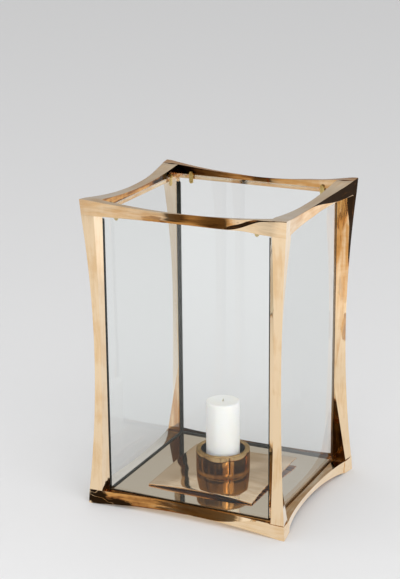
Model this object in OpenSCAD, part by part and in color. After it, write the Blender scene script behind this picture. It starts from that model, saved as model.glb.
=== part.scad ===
// Hurricane candle lantern: a cast bronze frame with drawn-in edges around a glass box that is open
// at the top, and a candle cup on a loose tray that stands on the polished floor plate.
// X runs along the front, Y from front to back, Z up. The origin is on the ground under the middle.

/* [Frame] */
// Width over the corner tips
frame_w = 433; // [420:1:460]
// Depth over the corner tips
frame_d = 380; // [370:1:400]
// Height over the corner tips
frame_h = 640; // [600:5:680]
// How far a post's middle is drawn in from its tips
post_bow = 15; // [10:0.5:16]
// How far a rail's middle is drawn in from its tips
rail_bow = 13.5; // [9:0.5:14]
// Flat left at each corner tip, on which the lantern stands
tip_flat = 10; // [6:1:14]

/* [Bars] */
// Width of a post's front or back face at its ends
post_face = 30; // [26:1:32]
// Depth of a post's side face
post_side = 28; // [26:1:30]
// Height of a top rail at its ends
top_rail_h = 32; // [30:1:34]
// Height of the lip that a bottom rail holds in front of the glass
bottom_lip_h = 30; // [29:0.5:31]
// Width of the ledge that carries the glass and the floor plate
ledge_w = 16; // [14:1:18]

/* [Glass] */
// Glass thickness
glass_t = 3; // [3:0.5:4]
// From the front tips back to the outer face of the front pane
glass_inset_front = 19; // [18:0.5:20]
// From the side tips in to the outer face of a side pane
glass_inset_side = 34; // [33:0.5:35]
// Height of the rubber bead along the foot of each pane
bead_h = 3; // [2:0.5:6]
// Width of the rubber bead
bead_w = 3; // [2:0.5:5]
// Leg of the angle-shaped seal in each corner of the glass box
seal_leg = 6; // [4:0.5:8]

/* [Floor and tray] */
// Top of the floor plate above the ground
floor_z = 27; // [26:0.5:28]
// Thickness of the floor plate
floor_t = 3; // [2.5:0.5:3]
// Side of the four-cornered tray
tray_w = 232; // [210:2:240]
// Thickness of the tray
tray_t = 2.7; // [2:0.1:3]
// How much higher the tray's middle is than its corners
tray_rise = 9; // [6:0.5:12]
// How far each edge of the tray is drawn in
tray_bow = 3; // [1:0.5:6]

/* [Cup and candle] */
// Outside diameter of the cup
cup_d = 112; // [104:1:116]
// Bore of the cup, which takes a pillar candle
cup_bore = 91; // [80:1:94]
// Height of the cup's rim above the ground
cup_top_z = 86; // [76:1:96]
// Diameter of the pillar candle
candle_d = 70; // [60:1:76]
// Height of the pillar candle
candle_h = 150; // [100:5:200]

/* [Clips] */
// From the middle of the front or back rail to its clips
clip_x = 148; // [120:1:150]
// From the middle of a side rail to its clips
clip_y = 130; // [100:1:132]
// Width of a turning clip
clip_w = 9; // [7:0.5:10]
// Reach of a clip from its screw to its tip
clip_reach = 21; // [19:0.5:22]

/* [Hidden] */

half_w = frame_w / 2;
half_d = frame_d / 2;
fit = 0.3;                                // gap between things that move or lift apart
bore_fit = 0.05;                          // radial play of a stud, dowel or screw in its hole
over = 1;                                 // how far a cutter runs past what it cuts
far = 20;                                 // how far a long cutter runs past the frame

front_in = glass_inset_front + glass_t;   // inner face of the front and back panes
side_in = glass_inset_side + glass_t;     // inner face of the side panes
rail_front_in = front_in + fit;           // inner face of the front and back top rails
rail_side_in = side_in + fit;             // inner face of the side top rails
post_reveal = 10;                         // run of the slanted face from a post's front to the glass
post_top = frame_h - top_rail_h;
ledge_z = floor_z - floor_t;
corner_w = post_face + post_reveal;       // length of the solid corner at each end of a long bottom rail
ledge_front_in = glass_inset_front + ledge_w;
ledge_side_in = glass_inset_side + ledge_w;
rebate_h = 10;                            // height of the glass pocket behind a top rail's lip
pane_top = post_top + rebate_h - 2;
pane_side_play = 0.2;                     // play of a side pane between the front and back panes
seal_t = 1.2;
seal_top = post_top - 8;

stud_r = 4;
stud_up = 18;                             // reach of a corner stud into a rail
stud_down = 20;                           // reach of a corner stud into a post
stud_at = [17, 12];                       // from the corner tip along X and Y
dowel_r = 3;
dowel_u = 26;                             // from the side tips to a rail dowel
dowel_reach = 12;                         // into the front or back rail
dowel_tail = 16;                          // into the side rail
dowel_top_z = frame_h - 16;
dowel_bottom_z = 15;

base_screw_r = 2;
base_head_r = 3.75;
base_head_h = 2.5;
base_seat_z = 18;                         // under the ledge, where the screw heads sit
base_screw_tip_z = floor_z - 0.5;
base_screw_v = 29;                        // from the front tips to the front and back screws
base_screw_u = 44;                        // from the side tips to the side screws
base_screw_x = 90;
base_screw_y = 80;

clip_t = 2;
clip_z = post_top + 12;                   // height of a clip's screw
clip_screw_r = 1.8;
clip_head_r = 3.5;
clip_head_h = 1.8;
clip_slot = [1, 0.8];                     // width and depth of the slot in a screw head
clip_screw_depth = 10;                    // reach of a clip's screw into the rail

tray_corner_z = floor_z + fit + tray_t;
tray_top_z = tray_corner_z + tray_rise;
tray_reach = tray_w / sqrt(2);            // from the tray's middle to a corner
tray_radius = (tray_reach * tray_reach + tray_rise * tray_rise) / (2 * tray_rise);
cup_floor_t = 1.2;
cup_floor_z = tray_top_z + cup_floor_t;
cup_foot_r = 1.2;                         // rounding where the cup's floor meets its bore
wick_r = 1.25;
wick_up = 5;
wick_foot = 4;                            // wax left under the wick

bow_facets = 256;
oval_depth = 20 * post_bow;               // half the depth of the oval that a post's bow is part of
oval_span = (frame_h / 2 - tip_flat) / sqrt(1 - pow(1 - post_bow / oval_depth, 2));
dome_facets = 360;
round_facets = 96;

bronze = [0.80, 0.60, 0.42];
brass = [0.78, 0.66, 0.36];
steel = [0.62, 0.62, 0.64];
rubber = [0.10, 0.11, 0.09];
clear_glass = [0.80, 0.90, 0.88, 0.35];
wax = [0.95, 0.94, 0.90];
cotton = [0.90, 0.88, 0.80];

// ---- shapes shared by the parts ----

// A huge round bar along Z that bites `bow` deep into the face y = 0, across a chord along X.
module bow_cutter(chord, bow, length) {
    radius = (chord * chord / 4 + bow * bow) / (2 * bow);
    translate([0, bow - radius, 0]) cylinder(r = radius, h = length, center = true, $fn = bow_facets);
}

// The same for the longer bow of the posts, up and down the face, with an oval bar.
module post_bow_cutter(length) {
    translate([0, post_bow - oval_depth, 0]) rotate([0, 90, 0]) scale([oval_span / oval_depth, 1, 1])
        cylinder(r = oval_depth, h = length, center = true, $fn = bow_facets);
}

// Draws in a side of the frame where the posts are. The side looks along -Y and its middle is at 0.
module post_bite(across) {
    bow_cutter(across - 2 * tip_flat, rail_bow, frame_h + far);
    post_bow_cutter(across + far);
}

// Draws in a side where the rails are: over a rail's height the post's bow is as good as a flat slope.
module rail_bite(across) {
    seam = post_top - frame_h / 2;
    drop = frame_h / 2 - tip_flat - seam;
    sunk = post_bow - oval_depth * (1 - sqrt(1 - pow(seam / oval_span, 2)));
    bow_cutter(across - 2 * tip_flat, rail_bow, frame_h + far);
    for (end = [0, 1]) mirror([0, 0, end]) translate([0, 0, seam + drop]) rotate([atan2(sunk, drop), 0, 0])
        translate([-(across + far) / 2, -far, -2 * drop]) cube([across + far, far, 2 * drop]);
}

module on_front() {
    translate([0, -half_d, frame_h / 2]) children();
}

module on_left() {
    translate([-half_w, 0, frame_h / 2]) rotate([0, 0, -90]) children();
}

module bite_bottom() {
    rotate([90, 0, 0]) bow_cutter(frame_w - 2 * tip_flat, rail_bow, frame_d + far);
    rotate([90, 0, 90]) bow_cutter(frame_d - 2 * tip_flat, rail_bow, frame_w + far);
}

module bite_top() {
    translate([0, 0, frame_h]) mirror([0, 0, 1]) bite_bottom();
}

// Puts what is drawn for the front left corner at the corner given by the signs of X and Y.
module at_corner(sx, sy) {
    mirror([sx > 0 ? 1 : 0, 0, 0]) mirror([0, sy > 0 ? 1 : 0, 0]) children();
}

// A block from the corner tip: low and high ends along X, Y and Z, measured from the front left foot.
module from_tip(low, high) {
    translate([low[0] - half_w, low[1] - half_d, low[2]]) cube(high - low);
}

// A vertical hole or rod at the stud's place in the front left corner.
module stud_line(radius, z, length) {
    translate([stud_at[0] - half_w, stud_at[1] - half_d, z])
        cylinder(r = radius, h = length, $fn = round_facets);
}

// A hole or rod along Y at the joint of a side rail with the front rail, at the left.
module dowel_line(radius, joint, z) {
    translate([dowel_u - half_w, joint - dowel_reach - half_d, z]) rotate([-90, 0, 0])
        cylinder(r = radius, h = dowel_reach + dowel_tail, $fn = round_facets);
}

// The line of a clip's screw for a rail whose inner face is `depth` behind the tips at the front.
module clip_line(radius, depth, x, from, to) {
    translate([x, depth - half_d + from, clip_z]) rotate([-90, 0, 0])
        cylinder(r = radius, h = to - from, $fn = round_facets);
}

// Turns what is drawn for the left end of a front rail so that it serves a side rail instead.
module onto_left_side() {
    translate([half_d - half_w, 0, 0]) rotate([0, 0, -90]) children();
}

// ---- frame ----

module post(sx, sy) {
    color(bronze) at_corner(sx, sy) difference() {
        translate([-half_w, -half_d, bottom_lip_h]) linear_extrude(post_top - bottom_lip_h)
            polygon([[0, 0], [post_face, 0], [post_face + post_reveal, glass_inset_front],
                     [glass_inset_side, glass_inset_front], [glass_inset_side, post_side],
                     [0, post_side]]);
        on_front() post_bite(frame_w);
        on_left() post_bite(frame_d);
        stud_line(stud_r + bore_fit, post_top - stud_down, stud_down + over);
        stud_line(stud_r + bore_fit, bottom_lip_h - over, stud_down + over);
    }
}

module top_rail_long(sy) {
    glass_half = half_w - glass_inset_side;
    color(bronze) at_corner(-1, sy) difference() {
        from_tip([0, 0, post_top], [frame_w, rail_front_in, frame_h]);
        translate([-glass_half, glass_inset_front - half_d, post_top - over])
            cube([2 * glass_half, rail_front_in, rebate_h + over]);
        on_front() rail_bite(frame_w);
        bite_top();
        for (end = [0, 1]) mirror([end, 0, 0]) {
            on_left() rail_bite(frame_d);
            stud_line(stud_r + bore_fit, post_top - over, stud_up + over);
            dowel_line(dowel_r + bore_fit, rail_front_in, dowel_top_z);
            clip_line(clip_screw_r + bore_fit, rail_front_in, -clip_x, -clip_screw_depth, over);
        }
    }
}

module top_rail_short(sx) {
    glass_half = half_d - front_in;
    color(bronze) at_corner(sx, -1) difference() {
        from_tip([0, rail_front_in, post_top], [rail_side_in, frame_d - rail_front_in, frame_h]);
        translate([glass_inset_side - half_w, -glass_half - over, post_top - over])
            cube([rail_side_in, 2 * (glass_half + over), rebate_h + over]);
        on_left() rail_bite(frame_d);
        bite_top();
        for (end = [0, 1]) mirror([0, end, 0]) {
            dowel_line(dowel_r + bore_fit, rail_front_in, dowel_top_z);
            onto_left_side() clip_line(clip_screw_r + bore_fit, rail_side_in, clip_y,
                                       -clip_screw_depth, over);
        }
    }
}

// The lip in front of the glass, along X, with its top sloping down to the floor plate's level.
module lip(length, depth) {
    rotate([90, 0, 90]) linear_extrude(length, center = true)
        polygon([[0, 0], [depth, 0], [depth, floor_z], [0, bottom_lip_h]]);
}

module bottom_rail_long(sy) {
    color(bronze) at_corner(-1, sy) difference() {
        union() {
            from_tip([0, 0, 0], [frame_w, ledge_front_in, ledge_z]);
            translate([0, -half_d, 0]) lip(frame_w - 2 * corner_w, glass_inset_front);
            for (x = [0, frame_w - corner_w])
                from_tip([x, 0, 0], [x + corner_w, glass_inset_front, bottom_lip_h]);
            for (x = [0, frame_w - glass_inset_side])
                from_tip([x, 0, 0], [x + glass_inset_side, ledge_front_in, bottom_lip_h]);
        }
        on_front() rail_bite(frame_w);
        bite_bottom();
        for (end = [0, 1]) mirror([end, 0, 0]) {
            on_left() rail_bite(frame_d);
            stud_line(stud_r + bore_fit, bottom_lip_h - stud_up, stud_up + over);
            dowel_line(dowel_r + bore_fit, ledge_front_in, dowel_bottom_z);
            base_screw_hole(-base_screw_x, base_screw_v - half_d);
        }
    }
}

module bottom_rail_short(sx) {
    color(bronze) at_corner(sx, -1) difference() {
        union() {
            from_tip([0, ledge_front_in, 0], [ledge_side_in, frame_d - ledge_front_in, ledge_z]);
            translate([-half_w, 0, 0]) rotate([0, 0, -90])
                lip(frame_d - 2 * ledge_front_in, glass_inset_side);
        }
        on_left() rail_bite(frame_d);
        bite_bottom();
        for (end = [0, 1]) mirror([0, end, 0]) {
            dowel_line(dowel_r + bore_fit, ledge_front_in, dowel_bottom_z);
            base_screw_hole(base_screw_u - half_w, -base_screw_y);
        }
    }
}

// Clearance hole through the ledge, with a wide hole below it for the screw's head.
module base_screw_hole(x, y) {
    translate([x, y, 0]) {
        cylinder(r = base_screw_r + bore_fit, h = ledge_z + over, $fn = round_facets);
        translate([0, 0, -over]) cylinder(r = base_head_r + fit, h = base_seat_z + over, $fn = round_facets);
    }
}

module corner_studs() {
    color(steel) for (sx = [-1, 1], sy = [-1, 1]) at_corner(sx, sy) {
        stud_line(stud_r, post_top - stud_down + fit, stud_down + stud_up - 2 * fit);
        stud_line(stud_r, bottom_lip_h - stud_up + fit, stud_down + stud_up - 2 * fit);
    }
}

module rail_dowels() {
    color(steel) for (sx = [-1, 1], sy = [-1, 1]) at_corner(sx, sy) {
        dowel_line(dowel_r, rail_front_in, dowel_top_z);
        dowel_line(dowel_r, ledge_front_in, dowel_bottom_z);
    }
}

// ---- floor plate and its screws ----

module at_base_screws() {
    for (sx = [-1, 1], sy = [-1, 1]) {
        translate([sx * base_screw_x, sy * (half_d - base_screw_v), 0]) children();
        translate([sx * (half_w - base_screw_u), sy * base_screw_y, 0]) children();
    }
}

module base_plate() {
    color(bronze) difference() {
        translate([side_in + fit - half_w, front_in + fit - half_d, ledge_z])
            cube([frame_w - 2 * (side_in + fit), frame_d - 2 * (front_in + fit), floor_t]);
        at_base_screws() translate([0, 0, ledge_z - over])
            cylinder(r = base_screw_r + bore_fit, h = base_screw_tip_z + bore_fit - ledge_z + over,
                     $fn = round_facets);
    }
}

module base_screws() {
    color(brass) at_base_screws() {
        translate([0, 0, base_seat_z - base_head_h])
            cylinder(r = base_head_r, h = base_head_h, $fn = round_facets);
        translate([0, 0, base_seat_z - over])
            cylinder(r = base_screw_r, h = base_screw_tip_z - base_seat_z + over, $fn = round_facets);
    }
}

// ---- glass box ----

module pane_long(sy) {
    color(clear_glass) at_corner(-1, sy)
        from_tip([glass_inset_side, glass_inset_front, ledge_z],
                 [frame_w - glass_inset_side, front_in, pane_top]);
}

module pane_short(sx) {
    color(clear_glass) at_corner(sx, -1)
        from_tip([glass_inset_side, front_in + pane_side_play, ledge_z],
                 [side_in, frame_d - front_in - pane_side_play, pane_top]);
}

module glazing_bead_long(sy) {
    color(rubber) at_corner(-1, sy)
        from_tip([side_in, front_in, floor_z], [frame_w - side_in, front_in + bead_w, floor_z + bead_h]);
}

module glazing_bead_short(sx) {
    color(rubber) at_corner(sx, -1)
        from_tip([side_in, front_in + bead_w, floor_z],
                 [side_in + bead_w, frame_d - front_in - bead_w, floor_z + bead_h]);
}

module corner_seal(sx, sy) {
    color(rubber) at_corner(sx, sy)
        translate([side_in - half_w, front_in - half_d, floor_z + bead_h])
            linear_extrude(seal_top - floor_z - bead_h)
                polygon([[0, 0], [seal_leg, 0], [seal_leg, seal_t], [seal_t, seal_t],
                         [seal_t, seal_leg], [0, seal_leg]]);
}

// ---- turning clips that hold the panes' top edges ----

// A round-ended brass tab on the inner face of a front rail, hanging from its screw at x.
module clip_tab(depth, x) {
    color(brass) difference() {
        translate([x, depth + fit - half_d, clip_z]) rotate([-90, 0, 0]) union() {
            cylinder(d = clip_w, h = clip_t, $fn = round_facets);
            translate([-clip_w / 2, 0, 0]) cube([clip_w, clip_reach - clip_w / 2, clip_t]);
            translate([0, clip_reach - clip_w / 2, 0]) cylinder(d = clip_w, h = clip_t, $fn = round_facets);
        }
        clip_line(clip_screw_r + bore_fit, depth, x, 0, fit + clip_t + over);
    }
}

module clip_long(sx, sy) {
    at_corner(sx, sy) clip_tab(rail_front_in, -clip_x);
}

module clip_short(sx, sy) {
    at_corner(sx, sy) onto_left_side() clip_tab(rail_side_in, clip_y);
}

module clip_screw(depth, x) {
    head_from = 2 * fit + clip_t;
    clip_line(clip_screw_r, depth, x, -clip_screw_depth + fit, head_from + over / 2);
    difference() {
        clip_line(clip_head_r, depth, x, head_from, head_from + clip_head_h);
        translate([x, depth - half_d + head_from + clip_head_h, clip_z])
            cube([clip_slot[0], 2 * clip_slot[1], 2 * clip_head_r + over], center = true);
    }
}

module clip_screws() {
    color(brass) for (sx = [-1, 1], sy = [-1, 1]) at_corner(sx, sy) {
        clip_screw(rail_front_in, -clip_x);
        onto_left_side() clip_screw(rail_side_in, clip_y);
    }
}

// ---- tray, cup and candle ----

module star_tray() {
    color(bronze) intersection() {
        difference() {
            translate([-tray_w / 2, -tray_w / 2, floor_z]) cube([tray_w, tray_w, tray_top_z]);
            for (turn = [0 : 90 : 270]) rotate([0, 0, turn]) translate([0, -tray_w / 2, floor_z])
                bow_cutter(tray_w - tip_flat, tray_bow, 2 * tray_top_z);
        }
        translate([0, 0, tray_top_z - tray_radius]) difference() {
            sphere(r = tray_radius, $fn = dome_facets);
            sphere(r = tray_radius - tray_t, $fn = dome_facets);
        }
    }
}

module candle_cup() {
    color(bronze) difference() {
        translate([0, 0, floor_z]) cylinder(d = cup_d, h = cup_top_z - floor_z, $fn = 2 * round_facets);
        translate([0, 0, cup_floor_z]) cylinder(d = cup_bore, h = cup_top_z, $fn = 2 * round_facets);
        translate([0, 0, tray_top_z - tray_radius]) sphere(r = tray_radius, $fn = dome_facets);
    }
}

candle_z = cup_floor_z + fit;

module candle() {
    edge = 2;                             // softened rim at the top of the wax
    color(wax) translate([0, 0, candle_z]) difference() {
        union() {
            cylinder(d = candle_d, h = candle_h - edge, $fn = 2 * round_facets);
            translate([0, 0, candle_h - edge])
                cylinder(d1 = candle_d, d2 = candle_d - 2 * edge, h = edge, $fn = 2 * round_facets);
        }
        translate([0, 0, wick_foot]) cylinder(r = wick_r + bore_fit, h = candle_h, $fn = round_facets);
    }
}

module wick() {
    color(cotton) translate([0, 0, candle_z + wick_foot])
        cylinder(r = wick_r, h = candle_h + wick_up - wick_foot, $fn = round_facets);
}

// ---- one line per node ----

post(-1, -1);  // post_front_left
post(1, -1);  // post_front_right
post(-1, 1);  // post_back_left
post(1, 1);  // post_back_right
top_rail_long(-1);  // top_rail_front
top_rail_long(1);  // top_rail_back
top_rail_short(-1);  // top_rail_left
top_rail_short(1);  // top_rail_right
bottom_rail_long(-1);  // bottom_rail_front
bottom_rail_long(1);  // bottom_rail_back
bottom_rail_short(-1);  // bottom_rail_left
bottom_rail_short(1);  // bottom_rail_right
corner_studs();
rail_dowels();
base_plate();
base_screws();
pane_long(-1);  // pane_front
pane_long(1);  // pane_back
pane_short(-1);  // pane_left
pane_short(1);  // pane_right
glazing_bead_long(-1);  // glazing_bead_front
glazing_bead_long(1);  // glazing_bead_back
glazing_bead_short(-1);  // glazing_bead_left
glazing_bead_short(1);  // glazing_bead_right
corner_seal(-1, -1);  // corner_seal_front_left
corner_seal(1, -1);  // corner_seal_front_right
corner_seal(-1, 1);  // corner_seal_back_left
corner_seal(1, 1);  // corner_seal_back_right
clip_long(-1, -1);  // clip_front_left
clip_long(1, -1);  // clip_front_right
clip_long(-1, 1);  // clip_back_left
clip_long(1, 1);  // clip_back_right
clip_short(-1, -1);  // clip_left_front
clip_short(-1, 1);  // clip_left_back
clip_short(1, -1);  // clip_right_front
clip_short(1, 1);  // clip_right_back
clip_screws();
star_tray();
candle_cup();
candle();
wick();
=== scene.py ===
"""Dresses a box-shaped hurricane candle lantern: bronze bars, glass, loose tray, cup and candle."""

import logging
import math
from dataclasses import dataclass
from enum import Enum
from typing import Iterable, Sequence

import bmesh
import bpy
from mathutils import Matrix, Vector


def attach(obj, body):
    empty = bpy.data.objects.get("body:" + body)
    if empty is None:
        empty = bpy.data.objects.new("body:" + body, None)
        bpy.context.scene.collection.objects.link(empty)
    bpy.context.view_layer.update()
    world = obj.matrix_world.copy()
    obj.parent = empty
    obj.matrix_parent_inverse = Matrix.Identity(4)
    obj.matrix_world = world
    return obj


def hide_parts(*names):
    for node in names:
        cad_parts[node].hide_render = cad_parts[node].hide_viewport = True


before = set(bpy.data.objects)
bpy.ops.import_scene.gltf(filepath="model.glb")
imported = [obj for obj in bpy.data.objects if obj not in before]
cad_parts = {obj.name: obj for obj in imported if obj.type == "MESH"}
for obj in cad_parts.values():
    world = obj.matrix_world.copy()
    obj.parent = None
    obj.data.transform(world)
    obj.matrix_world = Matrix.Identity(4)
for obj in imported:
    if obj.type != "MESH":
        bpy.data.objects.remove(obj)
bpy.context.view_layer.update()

logging.basicConfig(level=logging.INFO, format="%(name)s: %(message)s")
LOG = logging.getLogger("lantern")

MM = 0.001
Colour = tuple[float, float, float]
WHITE: Colour = (1.0, 1.0, 1.0)

# The face attribute that holds a face's tint, which is largely painted shade and painted
# reflections,
# and the two ends of its scale: a pale painted reflection of bright surroundings, and black painted
# shade. Plain bronze is 0 and orange is 1.
TINT_AND_SHADE_LAYER = "tint_and_painted_shade"
PAINTED_PALE = -1.0
PAINTED_BLACK = 2.0
HIDDEN = 0.3  # for walls that nobody sees


# ---- shader writing ----


@dataclass(frozen=True)
class Sock:
    """A shader output, on which sums are written as Python expressions."""

    graph: "Graph"
    socket: bpy.types.NodeSocket

    def other(self, key: str | int) -> "Sock":
        """Another output of the same node, by name or place."""
        return Sock(self.graph, self.socket.node.outputs[key])

    def __add__(self, other: "Operand") -> "Sock":
        """self + other, and other + self."""
        return self.graph.maths("ADD", self, other)

    def __mul__(self, other: "Operand") -> "Sock":
        """self * other, and other * self."""
        return self.graph.maths("MULTIPLY", self, other)

    def __sub__(self, other: "Operand") -> "Sock":
        """self - other."""
        return self.graph.maths("SUBTRACT", self, other)

    def __rsub__(self, other: "Operand") -> "Sock":
        """other - self."""
        return self.graph.maths("SUBTRACT", other, self)

    __radd__, __rmul__ = __add__, __mul__

    def step(self, low: float, high: float) -> "Sock":
        """Rises smoothly from 0 at low to 1 at high.

        Args:
            low: where the rise begins.
            high: where it ends; it may lie below low, for a fall.

        Returns:
            The mask.
        """
        inputs = {"Value": self, "From Min": low, "From Max": high}
        return self.graph.node("ShaderNodeMapRange", inputs, interpolation_type="SMOOTHSTEP")

    def clamped(self) -> "Sock":
        """Held between 0 and 1, with soft ends."""
        return self.step(0.0, 1.0)


Operand = Sock | int | float
Paint = Sock | Colour
Inputs = dict[str | int, object]


class Graph:
    """The nodes of one material or of the world."""

    def __init__(self, tree: bpy.types.NodeTree) -> None:
        """Clears the tree.

        Args:
            tree: the node tree to write into.
        """
        self.tree = tree
        tree.nodes.clear()

    def node(self, kind: str, inputs: Inputs, **settings: object) -> Sock:
        """Adds any node.

        Args:
            kind: the node's Blender type.
            inputs: values or links of its sockets, by name or place.
            **settings: attributes that are set first.

        Returns:
            The node's first output.
        """
        made = self.tree.nodes.new(kind)
        for key, value in settings.items():
            setattr(made, key, value)
        for key, value in inputs.items():
            socket = made.inputs[key]
            if isinstance(value, Sock):
                self.tree.links.new(value.socket, socket)
            elif isinstance(value, tuple) and socket.type == "RGBA":
                socket.default_value = (*value, 1.0)
            else:
                socket.default_value = value
        return Sock(self, made.outputs[0])

    def maths(self, operation: str, first: Operand, second: Operand = 0.0) -> Sock:
        """One sum, named as the Math node names it."""
        return self.node("ShaderNodeMath", {0: first, 1: second}, operation=operation)

    def length(self, vector: Sock) -> Sock:
        """How long a vector is."""
        return self.node("ShaderNodeVectorMath", {0: vector}, operation="LENGTH").other("Value")

    def place(self) -> Sock:
        """The point on the object, in metres."""
        return self.node("ShaderNodeTexCoord", {}).other("Object")

    def mapped(self, vector: Sock, scale: Colour, shift: Colour = (0.0, 0.0, 0.0)) -> Sock:
        """A vector with each axis scaled by its own number and then shifted."""
        inputs = {"Vector": vector, "Scale": scale, "Location": shift}
        return self.node("ShaderNodeMapping", inputs)

    def axes(self, vector: Sock | None = None) -> tuple[Sock, Sock, Sock]:
        """The X, Y and Z of a vector, or of the point on the object."""
        x = self.node("ShaderNodeSeparateXYZ", {0: vector or self.place()})
        return x, x.other(1), x.other(2)

    def noise(
        self, scale: float, detail: float, rough: float, vector: Sock | None = None
    ) -> Sock:
        """Soft random variation from 0 to 1.

        Args:
            scale: how many features there are to a metre.
            detail: how many finer layers are added.
            rough: how strong those layers are.
            vector: where it is read; the point on the object by default.

        Returns:
            The value.
        """
        where = vector or self.place()
        inputs = {"Vector": where, "Scale": scale, "Detail": detail, "Roughness": rough}
        return self.node("ShaderNodeTexNoise", inputs)

    def mix(self, factor: Operand, first: Paint, second: Paint) -> Sock:
        """A colour between two others: 0 for the first, 1 for the second."""
        inputs = {0: factor, 6: first, 7: second}
        return self.node("ShaderNodeMix", inputs, data_type="RGBA").other(2)

    def bump(self, height: Sock, depth: float, before: Sock | None = None) -> Sock:
        """A normal from a height.

        Args:
            height: the height, from 0 to 1.
            depth: what 1 stands for, in metres.
            before: a normal that this one is added to.

        Returns:
            The normal.
        """
        inputs: Inputs = {"Height": height, "Distance": depth, "Strength": 1.0}
        if before is not None:
            inputs["Normal"] = before
        return self.node("ShaderNodeBump", inputs)

    def emission(self, colour: Colour, strength: Operand) -> Sock:
        """A surface that gives off light."""
        return self.node("ShaderNodeEmission", {"Color": colour, "Strength": strength})

    def mix_shader(self, factor: Operand, first: Sock, second: Sock) -> Sock:
        """A shader between two others: 0 for the first, 1 for the second."""
        return self.node("ShaderNodeMixShader", {0: factor, 1: first, 2: second})

    def surface(self, shader: Sock, kind: str = "ShaderNodeOutputMaterial") -> None:
        """Wires a shader to a new output node."""
        self.tree.links.new(shader.socket, self.tree.nodes.new(kind).inputs["Surface"])


def new_material(name: str) -> tuple[bpy.types.Material, Graph]:
    """A new material, and the empty graph to write it in."""
    material = bpy.data.materials.new(name)
    material.use_nodes = True
    return material, Graph(material.node_tree)


# ---- finishes ----


class Grain(Enum):
    """The way in which a bar was rubbed down; each value squeezes a pattern along one axis."""

    ALONG_X = (0.10, 1.0, 1.0)
    ALONG_Y = (1.0, 0.10, 1.0)
    ALONG_Z = (1.0, 1.0, 0.10)


@dataclass(frozen=True)
class Spot:
    """A spot of painted dark reflection with ragged edges.

    Its centre and its half sizes are in millimetres. It is full inside `full` of its half size.
    """

    centre: Colour
    size: Colour
    strength: float = 1.0
    full: float = 0.65
    ragged: float = 2.6

    def mask(self, g: Graph, edge: Sock) -> Sock:
        """How strongly a point is painted.

        Args:
            g: the graph to write in.
            edge: noise from 0 to 1 that roughens the edge.

        Returns:
            A mask from 0 to the spot's strength.
        """
        scale = tuple(1.0 / (half * MM) for half in self.size)
        shift = tuple(-c * MM * k for c, k in zip(self.centre, scale))
        away = g.length(g.mapped(g.place(), scale, shift))
        return (away + (edge - 0.5) * self.ragged).step(1.0, self.full) * self.strength


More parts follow.
